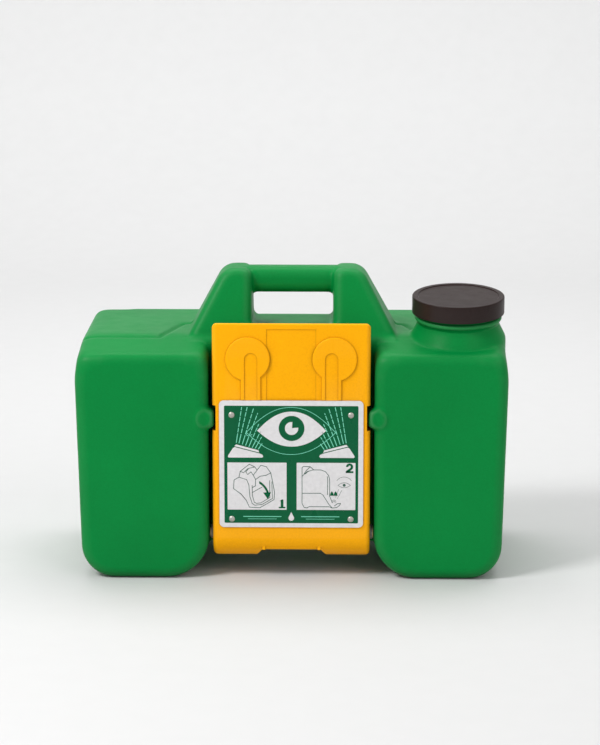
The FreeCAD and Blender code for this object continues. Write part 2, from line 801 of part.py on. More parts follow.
def hose_clamps():
    """Worm-drive bands at both ends of both hoses."""
    clamps = []
    for _, side in SIDES:
        low = V(side * stem_x, pivot_y, hose_low + 3)
        high = V(side * stem_x, inlet_y, hose_high - 3 - clamp_width)
        for start in (low, high):
            band = tube(hose_outer + running_fit + clamp_thickness, hose_outer + running_fit,
                        start, Z_AXIS, clamp_width)
            x = start.x + side * (hose_outer + clamp_thickness / 2)
            x0, x1 = sorted((x, x + side * clamp_housing))
            housing = box(x0, x1, start.y - clamp_housing, start.y + clamp_housing, start.z,
                          start.z + clamp_width)
            head = V((x0 + x1) / 2, start.y - clamp_housing - clamp_screw,
                     start.z + clamp_width / 2)
            screw = rod(clamp_screw, head, Y_AXIS, 2 * clamp_housing + clamp_screw)
            clamps.append(fused([band, housing, screw]).cut(
                rod(hose_outer + running_fit, start - V(0, 0, 1), Z_AXIS, clamp_width + 2)))
    return Part.makeCompound(clamps)


def spray_body(side):
    """The cup of a spray head, with a barb below and two ears."""
    x = side * relief_x
    cup = rod(head_radius, V(x, head_front, relief_z), Y_AXIS, head_depth)
    ears = box(x - ear_reach, x + ear_reach, head_front, head_front + head_wall,
               relief_z - ear_radius, relief_z + ear_radius)
    tips = [rod(ear_radius, V(x + s * ear_reach, head_front, relief_z), Y_AXIS, head_wall)
            for s in (-1, 1)]
    barb_x = side * stem_x
    barb = rod(barb_radius, V(barb_x, inlet_y, hose_high - barb_length), Z_AXIS,
               relief_z - hose_high + barb_length)
    solid = fused([cup, ears, barb] + tips)
    solid = solid.cut(rod(head_radius - head_wall, V(x, head_front + head_wall, relief_z),
                          Y_AXIS, head_depth))
    solid = solid.cut(rod(barb_bore, V(barb_x, inlet_y, hose_high - barb_length - 1), Z_AXIS,
                          relief_z - hose_high + barb_length + 1))
    for s in (-1, 1):
        solid = solid.cut(rod(screw_radius, V(x + s * ear_reach, head_front - 1, relief_z),
                              Y_AXIS, head_wall + 2))
    return solid


def head_disc(side, start, thickness):
    radius = head_radius - head_wall - running_fit
    return rod(radius, V(side * relief_x, start, relief_z), Y_AXIS, thickness)


def spray_filter(side):
    return head_disc(side, filter_y, filter_thickness)


def spray_diffuser(side):
    """A disc with two rings of holes and one in the middle."""
    disc = head_disc(side, diffuser_y, diffuser_thickness)
    spread = head_radius - head_wall - ring_width
    for ring, share in ((1, 0.4), (2, 0.78)):
        count = diffuser_holes * ring
        for i in range(count):
            angle = 2 * math.pi * i / count
            spot = V(side * relief_x + spread * share * math.cos(angle), diffuser_y - 1,
                     relief_z + spread * share * math.sin(angle))
            disc = disc.cut(rod(diffuser_hole_radius, spot, Y_AXIS, diffuser_thickness + 2))
    return disc.cut(rod(diffuser_hole_radius, V(side * relief_x, diffuser_y - 1, relief_z),
                        Y_AXIS, diffuser_thickness + 2))


def spray_ring(side):
    """The ring that keeps the diffuser in."""
    disc = head_disc(side, ring_y, ring_thickness)
    inner = head_radius - head_wall - ring_width
    return disc.cut(rod(inner, V(side * relief_x, ring_y - 1, relief_z), Y_AXIS,
                        ring_thickness + 2))


def head_screws():
    screws = []
    for _, side in SIDES:
        for s in (-1, 1):
            x = side * relief_x + s * ear_reach
            face = head_front + head_wall
            head = rod(screw_head_radius, V(x, face, relief_z), Y_AXIS, screw_head_thickness)
            shank = rod(screw_radius - running_fit, V(x, screw_tip + 0.5, relief_z), Y_AXIS,
                        face - screw_tip)
            screws.append(fused([head, shank]))
    return Part.makeCompound(screws)


def main():
    os.makedirs("parts", exist_ok=True)
    save("tank_shell", tank())
    save("cap", cap())
    save("cap_seal", cap_seal())
    save("arm_shell", arm_shell())
    save("label_plate", label_plate())
    save("label_rivets", label_rivets())
    save("hinge_pins", hinge_pins())
    save("hinge_bushings", hinge_bushings())
    save("hinge_washers", hinge_washers())
    save("pin_inserts", pin_inserts())
    save("valve_body", valve_body())
    save("valve_rotor", valve_rotor())
    save("rotor_seals", rotor_seals())
    save("outlet_gasket", outlet_gasket())
    save("outlet_nut", outlet_nut())
    save("hose_clamps", hose_clamps())
    save("head_screws", head_screws())
    for name, side in SIDES:
        save("hose_elbow_" + name, elbow(side))
        save("hose_" + name, hose(side))
        save("spray_body_" + name, spray_body(side))
        save("spray_filter_" + name, spray_filter(side))
        save("spray_diffuser_" + name, spray_diffuser(side))
        save("spray_ring_" + name, spray_ring(side))


main()
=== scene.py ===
"""Looks of the portable eyewash station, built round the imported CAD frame.

Metres, +Z up, and the front faces -Y.  Every CAD node keeps its shape and gets a finished
material, apart from the tank.  In its place stand a skin made from its own mesh, with softer
joins and edges, a groove in each lobe's top and fuller bumps beside the arm, and a collar for
the neck, with its thread.
"""
import json
import math

import bmesh
import bpy
from mathutils import Matrix, Vector


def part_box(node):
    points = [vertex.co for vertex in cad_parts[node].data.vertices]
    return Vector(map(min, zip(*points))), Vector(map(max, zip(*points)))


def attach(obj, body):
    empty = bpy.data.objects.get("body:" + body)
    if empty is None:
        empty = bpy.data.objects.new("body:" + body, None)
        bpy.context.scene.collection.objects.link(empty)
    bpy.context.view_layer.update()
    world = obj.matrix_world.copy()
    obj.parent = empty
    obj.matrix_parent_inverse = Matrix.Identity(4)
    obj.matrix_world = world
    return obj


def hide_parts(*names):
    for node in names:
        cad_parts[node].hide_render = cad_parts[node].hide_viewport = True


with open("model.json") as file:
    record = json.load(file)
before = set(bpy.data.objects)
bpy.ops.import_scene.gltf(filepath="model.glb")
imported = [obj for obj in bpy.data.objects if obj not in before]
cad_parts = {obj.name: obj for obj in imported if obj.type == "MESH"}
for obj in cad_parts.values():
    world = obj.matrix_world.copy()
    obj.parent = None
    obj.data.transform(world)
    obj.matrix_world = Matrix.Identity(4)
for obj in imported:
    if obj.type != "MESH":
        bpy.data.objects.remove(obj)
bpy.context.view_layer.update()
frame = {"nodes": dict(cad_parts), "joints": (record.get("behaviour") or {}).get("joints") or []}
nodes = frame["nodes"]
joints = {joint["name"]: joint for joint in frame["joints"]}

MM = 0.001
TANK, ARM = "tank", "spray_arm"

tank_low, tank_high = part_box("tank_shell")
arm_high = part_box("arm_shell")[1]
label_low, label_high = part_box("label_plate")
seal_low, seal_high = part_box("cap_seal")
neck_up = Vector(joints["cap_turn"]["axis"]).normalized()
neck_foot = Vector(joints["cap_turn"]["pos_m"])
lobe_top = neck_foot.z        # the neck stands on a lobe


# ---- materials ----------------------------------------------------------------------------

MIX_FACTOR, MIX_FIRST, MIX_SECOND, MIX_RESULT = 0, 6, 7, 2    # a colour Mix node's sockets
SHADE_REACH = 14 * MM       # how near a surface has to be to paint shade on another
FLAT_POINTINESS, EDGE_POINTINESS = 0.505, 0.56
SHEEN_GREY, SHEEN_SHARE = 0.55, 0.28    # what the painted sheen pales edges towards, and how far
GRAIN_DEPTH = 0.05 * MM


def tinted(colour, factor):
    return tuple(min(1.0, c * factor) for c in colour)


class Nodes:
    """A material's node tree, with short ways to add and join its nodes."""

    def __init__(self, name):
        self.material = bpy.data.materials.new(name)
        self.material.use_nodes = True
        self.tree = self.material.node_tree
        self.shader = self.tree.nodes["Principled BSDF"]
        self.coords = self.add("ShaderNodeTexCoord").outputs["Object"]

    def add(self, kind, **values):
        node = self.tree.nodes.new(kind)
        for key, value in values.items():
            if hasattr(node, key) and key not in node.inputs:
                setattr(node, key, value)
            else:
                node.inputs[key].default_value = value
        return node

    def join(self, source, target):
        self.tree.links.new(source, target)

    def noise(self, scale, detail=3.0, stretch=None):
        node = self.add("ShaderNodeTexNoise", Scale=scale, Detail=detail)
        source = self.coords
        if stretch:
            mapping = self.add("ShaderNodeMapping")
            mapping.inputs["Scale"].default_value = stretch
            self.join(source, mapping.inputs["Vector"])
            source = mapping.outputs["Vector"]
        self.join(source, node.inputs["Vector"])
        return node.outputs["Fac"]

    def ramp(self, source, stops):
        """A colour ramp, from two (position, colour) stops."""
        node = self.add("ShaderNodeValToRGB")
        for element, (position, colour) in zip(node.color_ramp.elements, stops):
            element.position = position
            element.color = (*colour, 1.0)
        self.join(source, node.inputs["Fac"])
        return node.outputs["Color"]

    def tints(self, source, colour, *stops):
        """A ramp between two tints of one colour, from (position, factor) stops."""
        return self.ramp(source, [(position, tinted(colour, factor))
                                  for position, factor in stops])

    def mix(self, factor, first, second, blend="MIX"):
        node = self.add("ShaderNodeMix", data_type="RGBA", blend_type=blend)
        for source, place in ((factor, MIX_FACTOR), (first, MIX_FIRST),
                              (second, MIX_SECOND)):
            socket = node.inputs[place]
            if hasattr(source, "is_linked"):
                self.join(source, socket)
            elif isinstance(source, tuple):
                socket.default_value = (*source, 1.0)
            else:
                socket.default_value = source
        return node.outputs[MIX_RESULT]

    def scaled(self, source, low, high):
        """source's 0 to 1 spread over low to high."""
        node = self.add("ShaderNodeMapRange")
        node.inputs["To Min"].default_value = low
        node.inputs["To Max"].default_value = high
        self.join(source, node.inputs["Value"])
        return node.outputs["Result"]

    def bump(self, layers):
        """Bump from (height source, strength, distance) layers, one over the other."""
        normal = None
        for source, strength, distance in layers:
            node = self.add("ShaderNodeBump", Strength=strength, Distance=distance)
            self.join(source, node.inputs["Height"])
            if normal:
                self.join(normal, node.inputs["Normal"])
            normal = node.outputs["Normal"]
        self.join(normal, self.shader.inputs["Normal"])

    def colour(self, source):
        self.join(source, self.shader.inputs["Base Color"])

    def roughness(self, source):
        self.join(source, self.shader.inputs["Roughness"])

    def paint_crevice_shade(self, source, depth):
        """source, darkened by painted shade where other surfaces crowd it."""
        occlusion = self.add("ShaderNodeAmbientOcclusion", Distance=SHADE_REACH)
        shade_factor = self.scaled(occlusion.outputs["AO"], 1 - depth, 1.0)
        return self.mix(1.0, source, shade_factor, blend="MULTIPLY")

    def edges(self):
        """1 on outer edges and corners, 0 on flats and in hollows."""
        geometry = self.add("ShaderNodeNewGeometry")
        return self.ramp(geometry.outputs["Pointiness"],
                         [(FLAT_POINTINESS, (0, 0, 0)), (EDGE_POINTINESS, (1, 1, 1))])


def moulded(name, colour, roughness, edge, grain=900.0, mottle=0.1, gloss=0.3, shade=0.35):
    """Moulded plastic: a fine skin texture, slow colour drift, scuffs, a painted sheen on its
    edges and painted shade in its crevices.

    edge is how strong the painted sheen on the edges is, mottle how far the colour drifts, and
    shade how dark the painted shade in the crevices is.
    """
    made = Nodes(name)
    made.shader.inputs["Specular IOR Level"].default_value = gloss
    drift = made.tints(made.noise(scale=7.0, detail=4.0), colour,
                       (0.3, 1 - mottle), (0.7, 1 + mottle))
    speck = made.tints(made.noise(scale=420.0, detail=2.0), colour, (0.35, 0.9), (0.65, 1.08))
    base = made.mix(0.4, drift, speck)
    # painted sheen: edges and corners paled towards grey, as if they caught the light
    pale = tuple(c + (SHEEN_GREY - c) * SHEEN_SHARE for c in colour)
    sheened = made.mix(made.scaled(made.edges(), 0.0, edge), base, pale)
    # painted shade, darker in crevices where other surfaces crowd this one
    made.colour(made.paint_crevice_shade(sheened, shade))
    scuff = made.noise(scale=60.0, detail=6.0, stretch=(1.0, 1.0, 0.18))
    made.roughness(made.scaled(scuff, *roughness))
    made.bump([(made.noise(scale=14.0, detail=2.0), 0.18, 0.6 * MM),
               (made.noise(scale=grain), 0.55, GRAIN_DEPTH)])
    return made.material


def printed(name, colour):
    """Ink or film on the label: near smooth, with a faint screen grain."""
    made = Nodes(name)
    made.shader.inputs["Specular IOR Level"].default_value = 0.15
    made.colour(made.tints(made.noise(scale=260.0, detail=2.0), colour,
                           (0.3, 0.95), (0.7, 1.04)))
    made.roughness(made.scaled(made.noise(scale=40.0, detail=4.0), 0.22, 0.36))
    made.bump([(made.noise(scale=1800.0, detail=1.0), 0.2, 0.01 * MM)])
    return made.material


def metal(name, colour, roughness=(0.22, 0.4)):
    """Metal with fine brushed lines."""
    made = Nodes(name)
    made.shader.inputs["Metallic"].default_value = 1.0
    lines = made.noise(scale=300.0, stretch=(1.0, 40.0, 1.0))
    made.colour(made.tints(lines, colour, (0.2, 0.88), (0.8, 1.06)))
    made.roughness(made.scaled(lines, *roughness))
    made.bump([(lines, 0.25, 0.02 * MM)])
    return made.material


def rubber(name, colour):
    """Matt rubber with a little bloom."""
    made = Nodes(name)
    made.colour(made.tints(made.noise(scale=90.0, detail=5.0), colour, (0.3, 0.8), (0.75, 1.5)))
    made.roughness(made.scaled(made.noise(scale=200.0), 0.62, 0.8))
    made.bump([(made.noise(scale=1400.0, detail=2.0), 0.4, 0.03 * MM)])
    return made.material


def hose_wall(name, colour):
    """Milky flexible tube, with faint lines along it from its making."""
    made = Nodes(name)
    made.shader.inputs["Transmission Weight"].default_value = 0.35
    made.shader.inputs["IOR"].default_value = 1.42
    lines = made.noise(scale=260.0, stretch=(1.0, 1.0, 0.03))
    made.colour(made.tints(lines, colour, (0.25, 0.9), (0.75, 1.05)))
    made.roughness(made.scaled(lines, 0.2, 0.36))
    made.bump([(lines, 0.25, 0.05 * MM)])
    return made.material


def foam(name, colour):
    """Open-cell foam, with painted shade in its cells' corners."""
    made = Nodes(name)
    cells = made.add("ShaderNodeTexVoronoi", Scale=900.0)
    made.join(made.coords, cells.inputs["Vector"])
    # painted shade: lighter in the cells' middles, darker out in their corners
    made.colour(made.tints(cells.outputs["Distance"], colour, (0.1, 1.4), (0.6, 0.3)))
    made.roughness(made.scaled(made.noise(scale=500.0), 0.8, 0.95))
    made.bump([(cells.outputs["Distance"], 0.8, 0.4 * MM)])
    return made.material


# linear RGB
GREEN = (0.0, 0.212, 0.04)
YELLOW = (0.97, 0.415, 0.0)
BROWN_BLACK = (0.016, 0.006, 0.005)
WHITE = (0.7, 0.69, 0.7)
SIGN_GREEN = (0.0, 0.1, 0.036)

green_plastic = moulded("tank_polyethylene", GREEN, roughness=(0.34, 0.5), edge=0.3, gloss=0.1)
# the arm's reliefs get deeper painted shade (shade=0.7)
yellow_plastic = moulded("arm_plastic", YELLOW, roughness=(0.34, 0.5), edge=0.05, mottle=0.04,
                         gloss=0.1, shade=0.7)
cap_plastic = moulded("cap_plastic", BROWN_BLACK, roughness=(0.3, 0.46), grain=1500.0,
                      edge=0.06, mottle=0.2, gloss=0.16)
black_nylon = moulded("fitting_nylon", (0.022, 0.022, 0.024), roughness=(0.3, 0.5),
                      grain=1600.0, edge=0.1)
acetal = moulded("rotor_acetal", (0.62, 0.61, 0.56), roughness=(0.25, 0.4), edge=0.05,
                 mottle=0.03)
nylon = moulded("bushing_nylon", (0.66, 0.63, 0.55), roughness=(0.32, 0.45), edge=0.05,
                mottle=0.04)
head_plastic = moulded("head_plastic", (0.006, 0.13, 0.045), roughness=(0.3, 0.45),
                       grain=1500.0, edge=0.2)
disc_plastic = moulded("diffuser_plastic", (0.7, 0.7, 0.68), roughness=(0.28, 0.42),
                       edge=0.05, mottle=0.03)
label_film = printed("label_film", WHITE)
ink_green = printed("label_green", SIGN_GREEN)
ink_pale = printed("label_pale_line", (0.2, 0.7, 0.5))
ink_grey = printed("label_grey_line", (0.055, 0.12, 0.09))
rivet_metal = metal("rivet_aluminium", (0.5, 0.49, 0.45), roughness=(0.42, 0.55))
steel = metal("stainless_steel", (0.6, 0.6, 0.61))
brass = metal("brass", (0.74, 0.55, 0.25))
black_rubber = rubber("seal_rubber", (0.02, 0.02, 0.021))
clear_hose = hose_wall("hose_tube", (0.62, 0.68, 0.66))
grey_foam = foam("filter_foam", (0.2, 0.2, 0.2))

NODE_MATERIALS = {
    "tank_shell": green_plastic, "arm_shell": yellow_plastic, "cap": cap_plastic,
    "cap_seal": black_rubber, "label_plate": label_film, "label_rivets": rivet_metal,
    "hinge_pins": steel, "hinge_bushings": nylon, "hinge_washers": nylon,
    "pin_inserts": brass, "valve_body": black_nylon, "valve_rotor": acetal,
    "rotor_seals": black_rubber, "outlet_gasket": black_rubber, "outlet_nut": black_nylon,
    "hose_clamps": steel, "head_screws": steel, "hose_elbow": black_nylon,
    "hose": clear_hose, "spray_body": head_plastic, "spray_filter": grey_foam,
    "spray_diffuser": disc_plastic, "spray_ring": head_plastic,
}


def dress_nodes():
    """Give every CAD node its finished material."""
    for name, obj in nodes.items():
        plain = name.removesuffix("_left").removesuffix("_right")
        material = NODE_MATERIALS[plain]
        for slot in obj.material_slots:
            slot.material = material


# ---- meshes -------------------------------------------------------------------------------

def mesh_object(name, bm, material):
    mesh = bpy.data.meshes.new(name)
    bm.to_mesh(mesh)
    bm.free()
    obj = bpy.data.objects.new(name, mesh)
    bpy.context.scene.collection.objects.link(obj)
    obj.data.materials.append(material)
    return obj


def bake(obj):
    """Bake the object's modifiers into its mesh."""
    bpy.context.view_layer.update()
    graph = bpy.context.evaluated_depsgraph_get()
    mesh = bpy.data.meshes.new_from_object(obj.evaluated_get(graph))
    obj.modifiers.clear()
    obj.data = mesh


def shade_smooth(obj):
    for polygon in obj.data.polygons:
        polygon.use_smooth = True


def smooth(low, high, value):
    """An even step from 0 at low to 1 at high."""
    t = min(1.0, max(0.0, (value - low) / (high - low)))
    return t * t * (3 - 2 * t)


# ---- tank ---------------------------------------------------------------------------------

WELD = 1e-6                   # CAD vertices nearer than this are one
VOXEL = 2.5 * MM
SKIN_FACES = 190000           # the triangles that the skin is thinned to
SOFTEN_FACTOR = 0.5
SKIN_PASSES = 9               # of smoothing, all over
CORNER_PASSES = 70            # of smoothing, at the lobes' top corners and edges

NECK_CUT = 21 * MM            # the skin ends here up the neck, under the bead
CUTTER_RADIUS = 70 * MM
CUTTER_HEIGHT = 60 * MM
SEAL_OVERHANG = 1 * MM        # how far the cap's seal reaches past the neck
SEAL_HALF = 1 * MM            # half the seal's thickness
NECK_RADIUS = seal_high.x - neck_foot.x - SEAL_OVERHANG
NECK_CLEAR = 14 * MM          # round the neck, where its foot keeps its shape

SEAM_WIDTH = 2.7 * MM         # of the bell-shaped groove, from its middle to its steepest part
SEAM_DEPTH = 3.6 * MM
SEAM_FRONT = -70 * MM         # its y on the outer part of a lobe
SEAM_BACK = 12 * MM           # its y beside the handle
SEAM_BEND = (142 * MM, 176 * MM)      # the x between which it steps back
SEAM_START = 125 * MM         # the least x of the groove
SEAM_FADE = (262 * MM, 276 * MM)      # the x between which it runs out
TOP_START = 292 * MM          # the lobes' tops are all above this
FACING_UP = 0.5               # the least z of a top's normal

CORNER_Z = 297 * MM           # top of the lobes' flat fronts
CORNER_REACH = 30 * MM        # from a corner or edge, where the softening runs out
CORNER_CORE = 0.5             # the share of that reach that is softened in full
CORNER_SIDE = 6 * MM          # from the arm's side out to a lobe's inner front corner
EDGE_INSET = 8 * MM           # from the tank's side in to the line of a lobe's outer top edge
SLOPE_END = 0.5               # where the top's front slope ends, as a share of the front's y
BACK_RUN = 0.9                # where the rounding of the back edge ends, as a share of x

BUMP_PLACE = (112 * MM, 214 * MM)     # x and z of a bump's middle
BUMP_HALF = (15 * MM, 16.5 * MM)
BUMP_RISE = 4.2 * MM
BUMP_CROWN = 0.62             # the share of a bump that rises in full
BUMP_FADE = (12 * MM, 26 * MM)        # behind the front, where a bump runs out
BUMP_CORNER = 8 * MM          # behind the front, where a lobe's rounded corner starts
BUMP_FRONT_SHARE = 0.45       # of the rise, on the flat front


def seam_offset(x, y):
    """How far a point is from the groove, which steps back beside the handle."""
    share = smooth(*SEAM_BEND, abs(x))
    middle = SEAM_BACK + (SEAM_FRONT - SEAM_BACK) * share
    run = SEAM_BEND[1] - SEAM_BEND[0]
    # a smooth step's slope is 6 t (1 - t), and t (1 - t) is close to sqrt(share (1 - share)) / 2
    slope = 6 * (SEAM_FRONT - SEAM_BACK) / run * math.sqrt(share * (1 - share)) / 2
    return (y - middle) / math.hypot(1.0, slope)


def neck_frame():
    """A matrix from the neck's own axes, with its foot at the origin, to the row frame."""
    side = Vector((1, 0, 0))
    turn = Matrix((side, neck_up.cross(side), neck_up)).transposed().to_4x4()
    return Matrix.Translation(neck_foot) @ turn


def soften(obj, passes, group_name=""):
    """Smooth an object's mesh, all of it or one vertex group."""
    modifier = obj.modifiers.new("soften", "SMOOTH")
    modifier.factor = SOFTEN_FACTOR
    modifier.iterations = passes
    modifier.vertex_group = group_name


def tank_skin():
    """The tank's moulding, remeshed so that its joins and edges are rounded as in a mould."""
    source = nodes["tank_shell"]
    bm = bmesh.new()
    bm.from_mesh(source.data)
    bmesh.ops.remove_doubles(bm, verts=bm.verts, dist=WELD)
    skin = mesh_object("tank_skin", bm, green_plastic)

    cutter = neck_cutter()
    cut = skin.modifiers.new("neck", "BOOLEAN")
    cut.object = cutter
    cut.operation = "DIFFERENCE"
    cut.solver = "EXACT"
    remesh = skin.modifiers.new("skin", "REMESH")
    remesh.mode = "VOXEL"
    remesh.voxel_size = VOXEL
    soften(skin, SKIN_PASSES)
    bake(skin)
    bpy.data.objects.remove(cutter)

    round_corners(skin)
    carve_seam(skin)
    swell_bumps(skin)
    thin = skin.modifiers.new("thin", "DECIMATE")
    thin.ratio = min(1.0, SKIN_FACES / (2 * len(skin.data.polygons)))
    bake(skin)
    skin.data.materials.clear()
    skin.data.materials.append(green_plastic)
    shade_smooth(skin)
    return skin


def neck_cutter():
    """A cylinder that takes the neck off the skin, from NECK_CUT upwards."""
    bm = bmesh.new()
    bmesh.ops.create_cone(bm, cap_ends=True, segments=64, radius1=CUTTER_RADIUS,
                          radius2=CUTTER_RADIUS, depth=CUTTER_HEIGHT)
    bmesh.ops.translate(bm, verts=bm.verts, vec=(0, 0, NECK_CUT + CUTTER_HEIGHT / 2))
    cutter = mesh_object("neck_cutter", bm, green_plastic)
    cutter.matrix_world = neck_frame()
    return cutter


def distance_to_line(point, start, end):
    """How far a point is from the stretch between start and end, which may be one point."""
    along = end - start
    share = (point - start).dot(along) / (along.length_squared or 1.0)
    return (point - start - along * min(1.0, max(0.0, share))).length


def round_corners(skin):
    """Soften the lobes' top front corners and outer top edges more than the rest."""
    front, back = tank_low.y, tank_high.y
    lines = []
    for x in (-arm_high.x - CORNER_SIDE, arm_high.x + CORNER_SIDE):
        corner = Vector((x, front, CORNER_Z))
        lines.append((corner, corner))
    for x in (tank_low.x + EDGE_INSET, tank_high.x - EDGE_INSET):
        edge = [Vector((x, front, CORNER_Z)), Vector((x, front * SLOPE_END, lobe_top)),
                Vector((x, back, lobe_top)), Vector((x * BACK_RUN, back, lobe_top))]
        lines += zip(edge, edge[1:])
    group = skin.vertex_groups.new(name="corners")
    for vertex in skin.data.vertices:
        co = vertex.co
        if co.z < CORNER_Z - CORNER_REACH or is_by_neck(co):
            continue
        near = min(distance_to_line(co, *line) for line in lines)
        if near < CORNER_REACH:
            weight = 1 - smooth(CORNER_CORE * CORNER_REACH, CORNER_REACH, near)
            group.add([vertex.index], weight, "REPLACE")
    soften(skin, CORNER_PASSES, group.name)
    bake(skin)


def is_by_neck(co):
    """True where the neck's foot is, which keeps its shape."""
    off = co - neck_foot
    return (off - neck_up * off.dot(neck_up)).length < NECK_RADIUS + NECK_CLEAR


def carve_seam(skin):
    """Press the S-shaped groove into the lobes' tops."""
    facing_up = [normal.vector.z > FACING_UP for normal in skin.data.vertex_normals]
    for vertex, is_up in zip(skin.data.vertices, facing_up):
        co = vertex.co
        if not is_up or co.z < TOP_START or abs(co.x) < SEAM_START or is_by_neck(co):
            continue
        away = seam_offset(co.x, co.y) / SEAM_WIDTH
        fade = 1 - smooth(*SEAM_FADE, abs(co.x))
        co.z -= SEAM_DEPTH * math.exp(-away * away / 2) * fade


def swell_bumps(skin):
    """Fill out the bumps on the lobes' front edges, beside the arm's notches."""
    for vertex in skin.data.vertices:
        co = vertex.co
        behind = co.y - tank_low.y
        if behind > BUMP_FADE[1] or abs(co.x) < arm_high.x:
            continue
        off = math.hypot((abs(co.x) - BUMP_PLACE[0]) / BUMP_HALF[0],
                         (co.z - BUMP_PLACE[1]) / BUMP_HALF[1])
        rise = 1 - smooth(BUMP_CROWN, 1.0, off)
        fade = 1 - smooth(*BUMP_FADE, behind)
        corner = smooth(0.0, BUMP_CORNER, behind)
        share = BUMP_FRONT_SHARE + (1 - BUMP_FRONT_SHARE) * corner
        co.y -= BUMP_RISE * rise * fade * share


# heights are up the neck's axis, from its foot
NECK_WALL = 7 * MM
COLLAR_FOOT = 8 * MM          # the collar starts here, inside the skin's flare
COLLAR_TUCK = 2 * MM          # how far in its foot is
COLLAR_OUT = 14 * MM          # its wall comes out of the flare here
COLLAR_PROUD = 0.1 * MM
BEAD_HEIGHT, BEAD_SIZE = 24 * MM, 3.2 * MM
RIM_CHAMFER = 1 * MM
BORE_CHAMFER = 2 * MM         # its height, inside the rim
THREAD_PITCH, THREAD_TURNS = 6 * MM, 1.75
THREAD_DROP = 3 * MM          # from the rim down to the thread's end
THREAD_STEPS, THREAD_RUN_IN = 160, 8
RIDGE = ((-0.8, -1.5), (2.3, -0.65), (2.3, 0.65), (-0.8, 1.5))    # (out, up) in mm


def lathe(bm, profile, segments=160):
    """Revolve (radius, height) points round Z into a closed ring of faces."""
    rings = []
    for radius, height in profile:
        rings.append([bm.verts.new((radius * math.cos(2 * math.pi * i / segments),
                                    radius * math.sin(2 * math.pi * i / segments), height))
                      for i in range(segments)])
    for a, b in zip(rings, rings[1:] + rings[:1]):
        for i in range(segments):
            j = (i + 1) % segments
            bm.faces.new((a[i], a[j], b[j], b[i]))


def bead_arc(radius, middle, size, steps=10):
    """The half circle of a bead that stands out of a wall."""
    return [(radius + size * math.cos(t), middle + size * math.sin(t))
            for t in (-math.pi / 2 + math.pi * i / steps for i in range(steps + 1))]


def neck_collar():
    """The neck above the flare: bead, wall, rim and bore."""
    bore = NECK_RADIUS - NECK_WALL
    seal_middle = (seal_low + seal_high) / 2
    rim = (seal_middle - neck_foot).dot(neck_up) - SEAL_HALF
    profile = [(bore, rim - BORE_CHAMFER), (bore, COLLAR_FOOT),
               (NECK_RADIUS - COLLAR_TUCK, COLLAR_FOOT), (NECK_RADIUS + COLLAR_PROUD, COLLAR_OUT)]
    profile += bead_arc(NECK_RADIUS, BEAD_HEIGHT, BEAD_SIZE)
    profile += [(NECK_RADIUS, rim - RIM_CHAMFER), (NECK_RADIUS - RIM_CHAMFER, rim),
                (bore + RIM_CHAMFER, rim)]
    bm = bmesh.new()
    lathe(bm, profile)
    add_thread(bm, rim)
    bmesh.ops.recalc_face_normals(bm, faces=bm.faces)
    bmesh.ops.transform(bm, matrix=neck_frame(), verts=bm.verts)
    collar = mesh_object("neck_collar", bm, green_plastic)
    shade_smooth(collar)
    return collar


def add_thread(bm, rim):
    """The coarse thread, as a closed ridge wound round the collar."""
    start = rim - THREAD_PITCH * THREAD_TURNS - THREAD_DROP
    sections = []
    for i in range(THREAD_STEPS + 1):
        angle = 2 * math.pi * THREAD_TURNS * i / THREAD_STEPS
        height = start + THREAD_PITCH * THREAD_TURNS * i / THREAD_STEPS
        grow = min(1.0, i / THREAD_RUN_IN, (THREAD_STEPS - i) / THREAD_RUN_IN)
        section = []
        for out, along in RIDGE:
            radius = NECK_RADIUS + (out * grow if out > 0 else out) * MM
            section.append(bm.verts.new((radius * math.cos(angle),
                                         radius * math.sin(angle), height + along * MM)))
        sections.append(section)
    for a, b in zip(sections, sections[1:]):
        for i in range(len(RIDGE)):
            j = (i + 1) % len(RIDGE)
            bm.faces.new((a[i], a[j], b[j], b[i]))
    bm.faces.new(sections[0])
    bm.faces.new(sections[-1][::-1])


# ---- label artwork ------------------------------------------------------------------------

# The artwork is in mm, from the middle of the plate's foot: x to the right, z up.
LABEL_X = (label_low.x + label_high.x) / 2 / MM
LABEL_Z = label_low.z / MM
PRINT = 0.09 * MM             # height of one layer of print
PRINT_SINK = 0.02 * MM        # how far a layer's back is let into the layer under it
GROUND, SHAPES, LINES, MARKS = 1, 2, 3, 4     # the layers, from the plate outwards
STROKE_OVERRUN = 0.6          # past each end of a stroke, as a share of half its width
ALMOND_POWERS = (2.1, 1.05)   # 2 and 1 would be a parabola; more makes sharper ends


def art_face(level):
    """The -Y face of a layer of print."""
    return label_low.y - level * PRINT


def add_shape(bm, outline, level):
    """A flat shape with a little thickness, from (x, z) points in mm on the label."""
    front, back = art_face(level), art_face(level - 1) + PRINT_SINK
    near = [bm.verts.new(((LABEL_X + x) * MM, front, (LABEL_Z + z) * MM)) for x, z in outline]
    far = [bm.verts.new(((LABEL_X + x) * MM, back, (LABEL_Z + z) * MM)) for x, z in outline]
    faces = [bm.faces.new(near), bm.faces.new(far[::-1])]
    count = len(outline)
    for i in range(count):
        j = (i + 1) % count
        bm.faces.new((near[j], near[i], far[i], far[j]))
    bmesh.ops.triangulate(bm, faces=faces)


def add_stroke(bm, points, width, level):
    """A line of even width through points, one piece for each stretch."""
    for (x0, z0), (x1, z1) in zip(points, points[1:]):
        length = math.hypot(x1 - x0, z1 - z0)
        ux, uz = (x1 - x0) / length, (z1 - z0) / length
        half = width / 2
        nx, nz = -uz * half, ux * half
        ex, ez = ux * half * STROKE_OVERRUN, uz * half * STROKE_OVERRUN
        add_shape(bm, [(x0 - ex + nx, z0 - ez + nz), (x0 - ex - nx, z0 - ez - nz),
                       (x1 + ex - nx, z1 + ez - nz), (x1 + ex + nx, z1 + ez + nz)], level)


def arc(cx, cz, radius, start, end, steps):
    """Points on an arc, from start to end in degrees."""
    points = []
    for i in range(steps + 1):
        angle = math.radians(start + (end - start) * i / steps)
        points.append((cx + radius * math.cos(angle), cz + radius * math.sin(angle)))
    return points


